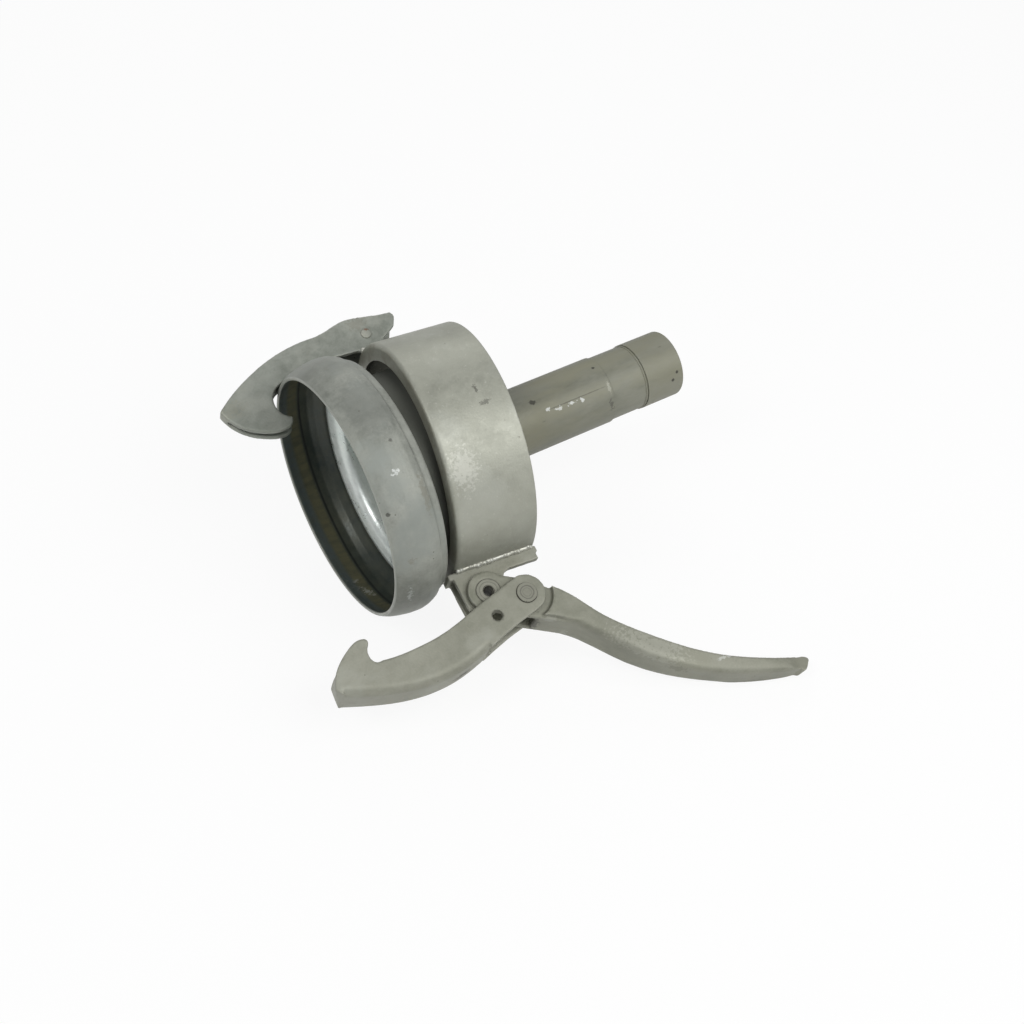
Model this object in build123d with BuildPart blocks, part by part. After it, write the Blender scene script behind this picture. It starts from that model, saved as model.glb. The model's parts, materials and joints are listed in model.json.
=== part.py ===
from build123d import *
import os

# Irrigation hose coupling: the ball half, its loose closure ring with a lever, and a stepped
# hose tail. Millimetres. The origin is the centre of the ball's mouth, +X runs along the pipe
# towards the hose, +Z is up and the lever lies towards -Y, a little below level.

os.makedirs("parts", exist_ok=True)

# Ball cup
ball_r = 97.0
ball_peak_x = 25.6
mouth_rise = 6.0
mouth_share = (0.43, 0.65)
cup_wall = 3.0
cup_back_x = 49.6
cup_foot = 5.0
shoulder_shares = [(0, 0), (0.333, 0.055), (0.583, 0.275), (0.842, 0.55), (1, 1)]
rim_round = 0.9

# Neck, reducer and hose tail, from front to back
neck_r = 72.0
neck_wall = 3.0
neck_flare = 10.5
neck_front_x = 36.5
neck_length = 43.5
cone_length = 38.0
tail_r = 26.2
tail_wall = 3.0
tail_length = 108.0
stub_step = 1.0
stub_length = 31.0
sleeve_step = 0.8
sleeve_length = 33.0
sleeve_round = 1.6

# Weld beads round the pipe
cup_bead = 3.0
bead_width = 5.0
bead_height = 0.9

# Closure ring, which lies askew on the neck
ring_play = 7.0
lip_depth = 12.5
ring_wall = 4.5
ring_width = 61.4
ring_round = 3.0
ring_centre = Vector(58.65, 2.2, 1.1)
ring_dip = 0.93
ring_yaw = -5.42
lever_drop = 21.66

# Lever bracket: places are along the ring and out from its surface
bracket_front = -4.0
bracket_back = 63.5
bracket_base = 4.3
ear_out = 8.5
ear_wall = 4.0
pivot_at = (16.1, 21.5)

# Hollow pivot and hook rivet
pivot_r = 7.0
pivot_bore_r = 3.7
collar_r = 9.0
collar_height = 1.0
rivet_at = (39.8, 33.1)
rivet_r = 6.0
rivet_head_r = 7.7
rivet_head_height = 1.3
running_gap = 0.05
side_gap = 0.15

# Lever handle
lug_r = 14.9
lug_end_r = 12.3
lug_in = 9.2
lug_out = 13.2
handle_half = 17.0
handle_tip_half = 8.5
handle_wall = 3.6
relief_r = 19.5
relief_wall = 4.5

# Claw hook
cheek_gap = 0.5
cheek_wall = 4.0
hook_end_r = 14.0
hook_web = 4.0
hook_fold = 6.5
lock_hole_at = (13.5, 41.3)
lock_hole_r = 3.65

# Fixed claw
claw_half = 14.0
claw_nose_half = 5.5
claw_wall = 4.0
claw_gap = 0.9
claw_foot = 15.0

# Weld beads on the ring
foot_bead_r = 2.6
foot_bead_off = 0.4
foot_start = 0.5
bracket_bead_end = 61.0
plug_weld_r = 4.2
plug_weld_height = 0.7
plug_weld_x = 9.8

# How far a cut runs past the material
spare = 20.0

# Worked-out places and sizes
stub_r = tail_r - stub_step
sleeve_r = stub_r + sleeve_step
lip_r = neck_r + ring_play
ring_r = lip_r + lip_depth
neck_end_x = neck_front_x + neck_length
cone_end_x = neck_end_x + cone_length
tail_end_x = cone_end_x + tail_length
stub_end_x = tail_end_x + stub_length
sleeve_end_x = stub_end_x + sleeve_length

ring_axis = Vector(1, 0, 0).rotate(Axis.Y, ring_dip).rotate(Axis.Z, ring_yaw)
lever_out = Vector(0, -1, 0).rotate(Axis.X, lever_drop).rotate(Axis.Y, ring_dip)
lever_out = lever_out.rotate(Axis.Z, ring_yaw)
claw_out = lever_out * -1
across = ring_axis.cross(lever_out)

# In each of these planes x runs along the ring, towards the hose
ring_section = Plane(origin=ring_centre, x_dir=ring_axis, z_dir=across)
lever_plane = Plane(origin=ring_centre + lever_out * ring_r, x_dir=ring_axis, z_dir=across)
lever_plan = Plane(origin=lever_plane.origin, x_dir=ring_axis, z_dir=lever_out)
claw_plane = Plane(origin=ring_centre + claw_out * ring_r, x_dir=ring_axis, z_dir=across * -1)
claw_plan = Plane(origin=claw_plane.origin, x_dir=ring_axis, z_dir=claw_out)
ring_face = Plane(origin=ring_centre, x_dir=across, z_dir=ring_axis)

cheek_in = lug_out + cheek_gap
cheek_out = cheek_in + cheek_wall


def shifted(points, distance):
    """The points of an open line, moved to its left by a distance."""
    moved = []
    for index, point in enumerate(points):
        before = Vector(points[max(index - 1, 0)])
        after = Vector(points[min(index + 1, len(points) - 1)])
        left = (after - before).normalized().rotate(Axis.Z, 90)
        moved.append(Vector(point) + left * distance)
    return moved


def save(builder, name):
    builder.part.label = name
    export_step(builder.part, f"parts/{name}.step")


def cup_line(inset):
    """The ball's line from its mouth to its back, moved in by a wall."""
    top = ball_r - inset
    mouth = top - mouth_rise
    run = cup_back_x - inset - ball_peak_x
    drop = top - (neck_r + cup_foot - inset / 2)
    halfway = (ball_peak_x * mouth_share[0], mouth + mouth_rise * mouth_share[1])
    front = ThreePointArc((0, mouth), halfway, (ball_peak_x, top))
    shoulder = Spline(
        *[(ball_peak_x + run * along, top - drop * down) for along, down in shoulder_shares],
        tangents=[(1, 0), (0.05, -1)],
    )
    return front, shoulder


# Ball cup: a pressed zone of a sphere, rolled in at the back onto the neck
with BuildPart() as ball_cup:
    with BuildSketch(Plane.XY):
        with BuildLine():
            outer_front, outer_shoulder = cup_line(0)
            Line(outer_shoulder @ 1, (cup_back_x, neck_r))
            Line((cup_back_x, neck_r), (cup_back_x - cup_wall, neck_r))
            inner_front, inner_shoulder = cup_line(cup_wall)
            Line((cup_back_x - cup_wall, neck_r), inner_shoulder @ 1)
            Line(inner_front @ 0, outer_front @ 0)
        make_face()
    revolve(axis=Axis.X)
    fillet(ball_cup.edges().group_by(Axis.X)[0], rim_round)
save(ball_cup, "ball_cup")


# Neck: a short wide pipe, flared at its front end inside the ball
with BuildPart() as neck_sleeve:
    with BuildSketch(Plane.XY):
        with BuildLine():
            flare_end_x = cup_back_x - cup_wall
            for radius in (neck_r, neck_r - neck_wall):
                Line((neck_end_x, radius), (flare_end_x, radius))
                Spline(
                    (flare_end_x, radius),
                    (neck_front_x, radius + neck_flare),
                    tangents=[(-1, 0), (-0.5, 1)],
                )
            Line((neck_end_x, neck_r), (neck_end_x, neck_r - neck_wall))
            Line(
                (neck_front_x, neck_r + neck_flare),
                (neck_front_x, neck_r - neck_wall + neck_flare),
            )
        make_face()
    revolve(axis=Axis.X)
save(neck_sleeve, "neck_sleeve")


# Reducer cone
with BuildPart() as reducer_cone:
    with BuildSketch(Plane.XY):
        with BuildLine():
            Polyline(
                (neck_end_x, neck_r),
                (cone_end_x, tail_r),
                (cone_end_x, tail_r - tail_wall),
                (neck_end_x, neck_r - neck_wall),
                close=True,
            )
        make_face()
    revolve(axis=Axis.X)
save(reducer_cone, "reducer_cone")


# Three lengths of pipe make the hose tail
tail_bore_r = tail_r - tail_wall
pipes = [
    ("tail_pipe", cone_end_x, tail_end_x, tail_r),
    ("stub_pipe", tail_end_x, stub_end_x, stub_r),
    ("end_sleeve", stub_end_x, sleeve_end_x, sleeve_r),
]
for name, start_x, end_x, radius in pipes:
    with BuildPart() as pipe:
        with BuildSketch(Plane.YZ.offset(start_x)):
            Circle(radius)
            Circle(tail_bore_r, mode=Mode.SUBTRACT)
        extrude(amount=end_x - start_x)
        if name == "end_sleeve":
            end_edges = pipe.edges().group_by(Axis.X)[-1]
            fillet(end_edges.sort_by(SortBy.RADIUS)[-1], sleeve_round)
    save(pipe, name)


# Weld beads round the joints between the pipes
cone_drop = bead_width / 2 * (neck_r - tail_r) / cone_length
joints = [
    ("neck_weld", neck_end_x, neck_r, [neck_r], neck_r - cone_drop),
    ("cone_weld", cone_end_x, tail_r + cone_drop, [tail_r], tail_r),
    ("joint_weld", tail_end_x, tail_r, [tail_r, stub_r], stub_r),
]
for name, middle_x, front_r, step, back_r in joints:
    with BuildPart() as bead:
        with BuildSketch(Plane.XY):
            with BuildLine():
                front = (middle_x - bead_width / 2, front_r)
                back = (middle_x + bead_width / 2, back_r)
                top = (middle_x, max(front_r, back_r, *step) + bead_height)
                Polyline(front, *[(middle_x, radius) for radius in step], back)
                Spline(front, top, back)
            make_face()
        revolve(axis=Axis.X)
    save(bead, name)

# The last bead stays off the sleeve, where the hose goes
with BuildPart() as sleeve_weld:
    with BuildSketch(Plane.XY):
        with BuildLine():
            toe = (stub_end_x - bead_width, stub_r)
            edge = (stub_end_x, sleeve_r)
            Polyline(toe, (stub_end_x, stub_r), edge)
            ThreePointArc(edge, (stub_end_x - bead_width / 2, sleeve_r + bead_height * 0.8), toe)
        make_face()
    revolve(axis=Axis.X)
save(sleeve_weld, "sleeve_weld")

with BuildPart() as cup_weld:
    with BuildSketch(Plane.XY):
        with BuildLine():
            corner = (cup_back_x, neck_r)
            top = (cup_back_x, neck_r + cup_bead)
            foot = (cup_back_x + cup_bead, neck_r)
            middle = (cup_back_x + cup_bead * 0.6, neck_r + cup_bead * 0.6)
            Polyline(top, corner, foot)
            ThreePointArc(foot, middle, top)
        make_face()
    revolve(axis=Axis.X)
save(cup_weld, "cup_weld")


# Closure ring: a wide band with a front lip turned inwards
with BuildPart() as closure_ring:
    with BuildSketch(ring_section):
        with BuildLine():
            Polyline(
                (ring_round, ring_r),
                (ring_width, ring_r),
                (ring_width, ring_r - ring_wall),
                (ring_wall, ring_r - ring_wall),
                (ring_wall, lip_r),
                (0, lip_r),
                (0, ring_r - ring_round),
            )
            RadiusArc((0, ring_r - ring_round), (ring_round, ring_r), ring_round)
        make_face()
    revolve(axis=Axis(ring_centre, ring_axis))
save(closure_ring, "closure_ring")


# Lever bracket: a folded channel on the ring, whose sides are the ears for the lever's pivot
ear_line = [
    (bracket_front + 1, 0),
    (-1, pivot_at[1] + 8),
    (pivot_at[0], pivot_at[1] + 13),
    (27, pivot_at[1] + 8.5),
    (31, pivot_at[1] - 3),
    (33, pivot_at[1] - 10),
    (42, bracket_base + 4.2),
    (bracket_back - 1.5, bracket_base + 2.2),
    (bracket_back - 1.5, 0),
]
bracket_middle = (bracket_front + bracket_back) / 2
bracket_length = bracket_back - bracket_front
with BuildPart() as lever_bracket:
    with BuildSketch(lever_plane):
        with Locations((bracket_middle, 0)):
            Rectangle(bracket_length, bracket_base * 2)
    extrude(amount=ear_out, both=True)
    with BuildSketch(lever_plane):
        with BuildLine():
            Polyline(*ear_line[:2])
            ThreePointArc(*ear_line[1:4])
            Polyline(*ear_line[3:], ear_line[0])
        make_face()
        with Locations(pivot_at):
            Circle(pivot_r, mode=Mode.SUBTRACT)
    extrude(amount=ear_out, both=True)
    with BuildSketch(lever_plane):
        with Locations((bracket_middle, bracket_base)):
            Rectangle(bracket_length + spare, ring_r, align=(Align.CENTER, Align.MIN))
    extrude(amount=ear_out - ear_wall, both=True, mode=Mode.SUBTRACT)
    with BuildSketch(ring_face.offset(bracket_front - spare)):
        Circle(ring_r)
    extrude(amount=bracket_length + spare * 2, mode=Mode.SUBTRACT)
save(lever_bracket, "lever_bracket")


# Hollow pivot, pressed into the ears and rolled over outside the lever's lugs
with BuildPart() as pivot_bush:
    with BuildSketch(lever_plane):
        with Locations(pivot_at):
            Circle(pivot_r)
    extrude(amount=lug_out, both=True)
    for side in (1, -1):
        with BuildSketch(lever_plane.offset(side * lug_out)):
            with Locations(pivot_at):
                Circle(collar_r)
        extrude(amount=-side * collar_height)
    with BuildSketch(lever_plane):
        with Locations(pivot_at):
            Circle(pivot_bore_r)
    extrude(amount=lug_out + 1, both=True, mode=Mode.SUBTRACT)
save(pivot_bush, "pivot_bush")


# Lever handle: a pressed channel, open towards the pipe, with two flat lugs
handle_edge = [
    (58.3, 33.0),
    (71.4, 46.3),
    (83, 62.6),
    (109.8, 89.2),
    (142.8, 113.9),
    (186, 136.6),
    (210, 143.2),
]
handle_back = [
    (40.2, 51),
    (50.9, 54.3),
    (65.6, 64.9),
    (91.7, 92.9),
    (119.5, 116.6),
    (154.6, 136),
    (186, 147.6),
    (210, 152.9),
]
handle_tip = [(218, 143.6), (223.7, 145.2), (222.5, 149.5)]
handle_root_x = 20.0
taper_start = 95.0
taper_middle = 150.0
taper_end = 214.7
tip_end = 223.7
cavity_end = 196.0
web_slant = 3.0
web_line = shifted(handle_back[:-1], -handle_wall)
cavity_low_x = pivot_at[0] - lug_r * 2
cavity_high_y = pivot_at[1] + lug_r * 4


def handle_plan(inset):
    """The handle seen along the lever's direction, moved in by a wall."""
    half = handle_half - inset
    middle = (handle_half + handle_tip_half) / 2 - inset + 1
    tip = handle_tip_half - inset
    root = handle_root_x
    Polyline((taper_start, -half), (root, -half), (root, half), (taper_start, half))
    Spline(
        (taper_start, half),
        (taper_middle, middle),
        (taper_end, tip),
        (tip_end - inset, 0),
        (taper_end, -tip),
        (taper_middle, -middle),
        (taper_start, -half),
        tangents=[(1, 0), (-1, 0)],
    )


with BuildPart() as handle_cavity:
    with BuildSketch(lever_plane):
        with BuildLine():
            Spline(*web_line)
            Polyline(
                web_line[-1],
                (cavity_end, cavity_high_y),
                (cavity_end, 0),
                (cavity_low_x, 0),
                (cavity_low_x, cavity_high_y),
                (web_line[0].X - web_slant, cavity_high_y),
                web_line[0],
            )
        make_face()
    extrude(amount=lug_in, both=True)
    with BuildSketch(lever_plane):
        with BuildLine():
            Spline(*web_line)
            Polyline(
                web_line[-1],
                (cavity_end, cavity_high_y),
                (cavity_end, 0),
                (pivot_at[0] + lug_r, 0),
                web_line[0],
            )
        make_face()
        with Locations(rivet_at):
            Circle(relief_r + relief_wall, mode=Mode.SUBTRACT)
    extrude(amount=handle_half - handle_wall, both=True)
    with BuildSketch(lever_plan):
        with BuildLine():
            handle_plan(handle_wall)
        make_face()
        Rectangle(lug_r * 4, lug_in * 2)
    extrude(amount=ring_r * 2, mode=Mode.INTERSECT)

with BuildPart() as lever_handle:
    with BuildSketch(lever_plane):
        with BuildLine():
            Line(handle_back[0], handle_edge[0])
            Spline(*handle_edge)
            Spline(handle_edge[-1], *handle_tip, handle_back[-1])
            Spline(*handle_back)
        make_face()
        with Locations(rivet_at):
            Circle(relief_r, mode=Mode.SUBTRACT)
    extrude(amount=handle_half, both=True)
    with BuildSketch(lever_plan):
        with BuildLine():
            handle_plan(0)
        make_face()
    extrude(amount=ring_r * 2, mode=Mode.INTERSECT)
    with BuildSketch(lever_plane):
        with Locations(pivot_at):
            Circle(lug_r)
        with Locations(rivet_at):
            Circle(lug_end_r)
        with BuildLine():
            Polyline(
                (pivot_at[0], pivot_at[1] - lug_r),
                (rivet_at[0] + 5, rivet_at[1] - lug_end_r + 1),
                handle_edge[1],
                handle_back[2],
                handle_back[0],
                (pivot_at[0] - 6, pivot_at[1] + lug_r * 0.9),
                close=True,
            )
        make_face()
    extrude(amount=lug_out, both=True)
    add(handle_cavity.part, mode=Mode.SUBTRACT)
    with BuildSketch(lever_plane):
        with Locations(pivot_at):
            Circle(pivot_r + running_gap)
        with Locations(rivet_at):
            Circle(rivet_r + running_gap)
    extrude(amount=lug_out + 1, both=True, mode=Mode.SUBTRACT)
    for side in (1, -1):
        with BuildSketch(lever_plane.offset(side * (lug_out + 1))):
            with Locations(pivot_at):
                Circle(collar_r + side_gap)
        extrude(amount=-side * (collar_height + side_gap + 1), mode=Mode.SUBTRACT)
save(lever_handle, "lever_handle")


# Claw hook: a pressed channel, open towards the ball, with its web left out over the handle
hook_inner = [
    (19.4, 25.1),
    (-4, 32.8),
    (-13.3, 36.2),
    (-30.6, 41.1),
    (-46.5, 43.4),
    (-61.7, 44.4),
    (-74, 43.8),
]
hook_throat = [(-79.6, 42.8), (-81.4, 38.6), (-79.4, 31)]
hook_nose = [(-79.2, 26.1), (-83.1, 25), (-94.5, 29.8), (-105.6, 39.9), (-111.3, 52.5)]
hook_outer = [(-107.2, 57.9), (-80, 66.2), (-52, 70.8), (-36.6, 70.7), (-20.3, 68), (0.7, 61)]
hook_cheek_edge = [(12.2, 56.5), (26.1, 51.5)]
hook_web_line = shifted(hook_outer, -hook_web)
end_top = Vector(rivet_at) + Vector(0, hook_end_r).rotate(Axis.Z, -18)
end_back = Vector(rivet_at) + Vector(hook_end_r, 0)
end_bottom = Vector(rivet_at) + Vector(0, -hook_end_r).rotate(Axis.Z, -15)

hook_length = hook_outer[-1][0] - hook_outer[0][0]

with BuildPart() as hook_fold_block:
    with BuildSketch(lever_plane):
        with BuildLine():
            Spline(*hook_outer)
            Polyline(hook_outer[-1], (hook_outer[-1][0], 0), (hook_outer[0][0], 0), hook_outer[0])
        make_face()
    extrude(amount=cheek_out, both=True)
    fold_edges = hook_fold_block.edges().filter_by(GeomType.BSPLINE)
    fillet(fold_edges.sort_by(SortBy.LENGTH)[-2:], hook_fold)
    with BuildSketch(lever_plane):
        with Locations((hook_outer[-1][0], 0)):
            Rectangle(hook_length, hook_length, align=(Align.MIN, Align.MIN))
        with Locations((hook_outer[0][0], 0)):
            Rectangle(hook_length, hook_length, align=(Align.MAX, Align.MIN))
    extrude(amount=cheek_out, both=True)

with BuildPart() as claw_hook:
    with BuildSketch(lever_plane):
        with BuildLine():
            Line(end_bottom, hook_inner[0])
            Spline(*hook_inner)
            Spline(hook_inner[-1], *hook_throat)
            Spline(hook_throat[-1], *hook_nose)
            Line(hook_nose[-1], hook_outer[0])
            Spline(*hook_outer)
            Polyline(hook_outer[-1], *hook_cheek_edge, end_top)
            ThreePointArc(end_top, end_back, end_bottom)
        make_face()
    extrude(amount=cheek_out, both=True)
    add(hook_fold_block.part, mode=Mode.INTERSECT)
    with BuildSketch(lever_plane):
        with BuildLine():
            Spline(*hook_web_line)
            Polyline(
                hook_web_line[-1],
                (hook_web_line[-1].X, hook_length),
                (hook_length, hook_length),
                (hook_length, 0),
                (-hook_length * 2, 0),
                (-hook_length * 2, hook_web_line[0].Y),
                hook_web_line[0],
            )
        make_face()
    extrude(amount=cheek_in, both=True, mode=Mode.SUBTRACT)
    with BuildSketch(lever_plane):
        with Locations(rivet_at):
            Circle(rivet_r)
        with Locations(lock_hole_at):
            Circle(lock_hole_r)
    extrude(amount=cheek_out + 1, both=True, mode=Mode.SUBTRACT)
save(claw_hook, "claw_hook")


# Hook rivet: a shank through both cheeks and both lugs, with a flat head at each end
with BuildPart() as hook_rivet:
    with BuildSketch(lever_plane):
        with Locations(rivet_at):
            Circle(rivet_r)
    extrude(amount=cheek_out, both=True)
    for side in (1, -1):
        with BuildSketch(lever_plane.offset(side * cheek_out)):
            with Locations(rivet_at):
                Circle(rivet_head_r)
        extrude(amount=side * rivet_head_height, taper=20)
save(hook_rivet, "hook_rivet")


# Fixed claw: a pressed channel whose feet stand on the ring and whose nose is pinched. Its
# lines are measured out from the line that just clears the ball
peak_back = ring_centre.X - ball_peak_x + ring_r * claw_out.X
lean = ring_centre.Y * claw_out.Y + ring_centre.Z * claw_out.Z
ball_line = ball_r + claw_gap - ring_r - lean - peak_back * ring_axis.X * claw_out.X
claw_outer = [
    (-111.5, -12.6),
    (-95.5, 0.3),
    (-81.1, 8.8),
    (-67.3, 15.0),
    (-54.4, 18.9),
    (-38.3, 21.2),
    (-26, 21.2),
]
claw_step = [(-26, 21.2), (-17, 23.5), (-5, 27.1), (10.8, 26.6), (34, 24.2)]
claw_nose = [
    (-111.5, -12.6),
    (-104.8, -25.3),
    (-96.4, -33.0),
    (-86.9, -37.8),
    (-76.7, -40.4),
    (-67.1, -38.8),
    (-63.9, -32.3),
]
claw_throat = [(-63.9, -32.3), (-69.7, -27.8), (-72.4, -21.1), (-71.2, -12.6), (-60, -4.9)]
claw_palm = [(-36, 0), (-50, -1.4), (-60, -4.9)]
claw_plan_line = [(-112, claw_nose_half), (-84, claw_nose_half + 1), (-24, claw_half)]
claw_back_shares = [(36, 0.845), (32.4, 0.515), (21.1, 0.185)]
claw_root = 5.0
claw_back_x = claw_step[-1][0] + spare
claw_back_y = claw_step[-1][1] + ball_line


def raised(points, out=0):
    """Points of the claw, moved out by the line over the ball and a distance more."""
    return [(x, y + ball_line + out) for x, y in points]


def claw_plan_outline(inset):
    """The claw seen from outside, moved in by a wall."""
    half = claw_half - inset
    front_x = claw_plan_line[0][0]
    front_half = claw_nose_half - inset
    for side in (1, -1):
        Spline(*[(x, (y - inset) * side) for x, y in claw_plan_line])
        Line((claw_plan_line[-1][0], side * half), (claw_back_x, side * half))
    Line((front_x, -front_half), (front_x, front_half))
    Line((claw_back_x, -half), (claw_back_x, half))


web_under = shifted(raised(claw_outer), -claw_wall)
step_under = shifted(raised(claw_step), -claw_wall)

with BuildPart() as claw_cavity:
    with BuildSketch(claw_plane):
        with BuildLine():
            Spline(*web_under)
            Line(web_under[-1], step_under[0])
            Spline(*step_under)
            Polyline(
                step_under[-1],
                (claw_back_x, step_under[-1].Y),
                (claw_back_x, claw_nose[4][1] - spare),
                (claw_nose[2][0], claw_nose[4][1] - spare),
                web_under[0],
            )
        make_face()
    extrude(amount=claw_half - claw_wall, both=True)
    with BuildSketch(claw_plan):
        with BuildLine():
            claw_plan_outline(claw_wall)
        make_face()
    extrude(amount=ring_r, both=True, mode=Mode.INTERSECT)

with BuildPart() as fixed_claw:
    with BuildSketch(claw_plane):
        with BuildLine():
            Spline(*raised(claw_outer))
            Spline(*raised(claw_step))
            Polyline(
                raised(claw_step)[-1],
                *[(x, claw_back_y * share) for x, share in claw_back_shares],
                (claw_foot, -claw_root),
                (0, -claw_root),
                (0, ball_line),
                raised(claw_palm)[0],
            )
            Spline(*raised(claw_palm), tangents=[(-1, 0), (-1, -0.8)])
            Spline(*raised(claw_throat))
            Spline(*raised(claw_nose))
        make_face()
    extrude(amount=claw_half, both=True)
    with BuildSketch(claw_plan):
        with BuildLine():
            claw_plan_outline(0)
        make_face()
    extrude(amount=ring_r, both=True, mode=Mode.INTERSECT)
    with BuildSketch(ring_face.offset(-spare)):
        Circle(ring_r)
    extrude(amount=ring_width + spare, mode=Mode.SUBTRACT)
    add(claw_cavity.part, mode=Mode.SUBTRACT)
save(fixed_claw, "fixed_claw")


# Plug welds in the claw's cheeks, over the ring
with BuildPart() as claw_plug_weld:
    for side in (1, -1):
        with BuildSketch(claw_plane.offset(side * claw_half)):
            with Locations((plug_weld_x, claw_back_y / 2)):
                Circle(plug_weld_r)
        extrude(amount=side * plug_weld_height, taper=45)
save(claw_plug_weld, "claw_plug_weld")


# Weld beads along the feet of the claw and of the bracket
feet = [
    ("claw_weld_left", claw_plane, claw_half, 1, foot_start, claw_foot - 1, fixed_claw),
    ("claw_weld_right", claw_plane, claw_half, -1, foot_start, claw_foot - 1, fixed_claw),
    ("bracket_weld_left", lever_plane, ear_out, 1, foot_start, bracket_bead_end, lever_bracket),
    ("bracket_weld_right", lever_plane, ear_out, -1, foot_start, bracket_bead_end, lever_bracket),
]
for name, plane, half, side, start, end, foot in feet:
    sag = ring_r - (ring_r**2 - half**2) ** 0.5
    with BuildPart() as bead:
        centre = plane.from_local_coords(Vector(start, -sag, side * (half + foot_bead_off)))
        with BuildSketch(Plane(origin=centre, x_dir=across, z_dir=ring_axis)):
            Circle(foot_bead_r)
        extrude(amount=end - start)
        with BuildSketch(ring_face.offset(start - spare)):
            Circle(ring_r)
        extrude(amount=end - start + spare * 2, mode=Mode.SUBTRACT)
        add(foot.part, mode=Mode.SUBTRACT)
    save(bead, name)
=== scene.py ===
import bpy
import bmesh
import json
import math
from mathutils import Matrix, Vector

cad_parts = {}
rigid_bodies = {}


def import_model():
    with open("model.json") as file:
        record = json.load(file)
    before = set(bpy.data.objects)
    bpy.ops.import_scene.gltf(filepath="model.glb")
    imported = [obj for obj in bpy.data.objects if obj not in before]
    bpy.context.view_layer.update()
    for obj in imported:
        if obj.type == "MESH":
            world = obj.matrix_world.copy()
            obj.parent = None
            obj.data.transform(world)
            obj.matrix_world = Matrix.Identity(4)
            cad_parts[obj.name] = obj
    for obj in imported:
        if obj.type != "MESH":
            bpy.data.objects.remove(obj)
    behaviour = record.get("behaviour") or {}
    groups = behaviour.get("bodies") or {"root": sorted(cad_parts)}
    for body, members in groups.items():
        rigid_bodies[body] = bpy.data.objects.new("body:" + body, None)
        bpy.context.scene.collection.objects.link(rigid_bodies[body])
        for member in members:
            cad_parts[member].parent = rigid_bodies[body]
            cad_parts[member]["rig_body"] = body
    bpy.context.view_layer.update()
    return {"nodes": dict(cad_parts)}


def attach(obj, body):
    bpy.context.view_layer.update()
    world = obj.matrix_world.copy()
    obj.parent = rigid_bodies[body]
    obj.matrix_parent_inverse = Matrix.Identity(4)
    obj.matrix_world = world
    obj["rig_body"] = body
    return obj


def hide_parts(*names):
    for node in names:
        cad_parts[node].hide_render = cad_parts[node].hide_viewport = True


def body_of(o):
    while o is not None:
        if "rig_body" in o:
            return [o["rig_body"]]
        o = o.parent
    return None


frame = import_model()
nodes = frame["nodes"]
print("frame loaded:", len(nodes), "CAD nodes")

# The closure ring lies askew on the neck; the lever and the claws are placed from it
ringPlace = {
    "centre": (0.05865, 0.0022, 0.0011),
    "dip": 0.93,
    "yaw": -5.42,
    "leverDrop": 21.66,
    "radius": 0.0915,
}
ringTilt = Matrix.Rotation(math.radians(ringPlace["yaw"]), 3, "Z")
ringTilt = ringTilt @ Matrix.Rotation(math.radians(ringPlace["dip"]), 3, "Y")
ringCentre = Vector(ringPlace["centre"])
ringAxis = ringTilt @ Vector((1, 0, 0))
leverOut = ringTilt @ Matrix.Rotation(math.radians(ringPlace["leverDrop"]), 3, "X") @ Vector((0, -1, 0))
across = ringAxis.cross(leverOut)
leverFoot = ringCentre + leverOut * ringPlace["radius"]
clawFoot = ringCentre - leverOut * ringPlace["radius"]
leverTurn = Matrix((ringAxis, leverOut, across)).transposed()
clawTurn = Matrix((ringAxis, -leverOut, -across)).transposed()


def leverPoint(along, out, side):
    return leverFoot + leverTurn @ Vector((along, out, side))


def leverPlace(point):
    return leverTurn.transposed() @ (point - leverFoot)


def clawPoint(along, out, side):
    return clawFoot + clawTurn @ Vector((along, out, side))


# Shader node helpers

def newMaterial(name):
    material = bpy.data.materials.new(name)
    material.use_nodes = True
    tree = material.node_tree
    tree.nodes.clear()
    output = tree.nodes.new("ShaderNodeOutputMaterial")
    shader = tree.nodes.new("ShaderNodeBsdfPrincipled")
    tree.links.new(shader.outputs["BSDF"], output.inputs["Surface"])
    return material, tree, shader


def setInput(tree, socket, value):
    if isinstance(value, bpy.types.NodeSocket):
        tree.links.new(value, socket)
    elif socket.type == "RGBA":
        socket.default_value = (*value, 1)
    else:
        socket.default_value = value


def addNode(tree, kind, inputs=None, **settings):
    node = tree.nodes.new(kind)
    for key, value in settings.items():
        setattr(node, key, value)
    for key, value in (inputs or {}).items():
        setInput(tree, node.inputs[key], value)
    return node


def mathNode(tree, operation, *values, clamp=False):
    node = addNode(tree, "ShaderNodeMath", operation=operation, use_clamp=clamp)
    for index, value in enumerate(values):
        setInput(tree, node.inputs[index], value)
    return node.outputs[0]


def times(tree, first, second):
    return mathNode(tree, "MULTIPLY", first, second)


def lengthOf(tree, vector):
    return addNode(tree, "ShaderNodeVectorMath", {0: vector}, operation="LENGTH").outputs["Value"]


def alongAndRadial(tree, place):
    # How far a point lies along its own x axis, and how far from it
    split = addNode(tree, "ShaderNodeSeparateXYZ", {"Vector": place})
    flat = addNode(tree, "ShaderNodeCombineXYZ", {"Y": split.outputs["Y"], "Z": split.outputs["Z"]})
    return split.outputs["X"], lengthOf(tree, flat.outputs[0])


def mixColour(tree, factor, first, second):
    node = addNode(tree, "ShaderNodeMix", data_type="RGBA", blend_type="MIX")
    for index, value in ((0, factor), (6, first), (7, second)):
        setInput(tree, node.inputs[index], value)
    return node.outputs[2]


def between(tree, value, start, end, low=0.0, high=1.0):
    return addNode(tree, "ShaderNodeMapRange", {
        "Value": value, "From Min": start, "From Max": end, "To Min": low, "To Max": high}).outputs[0]


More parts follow.
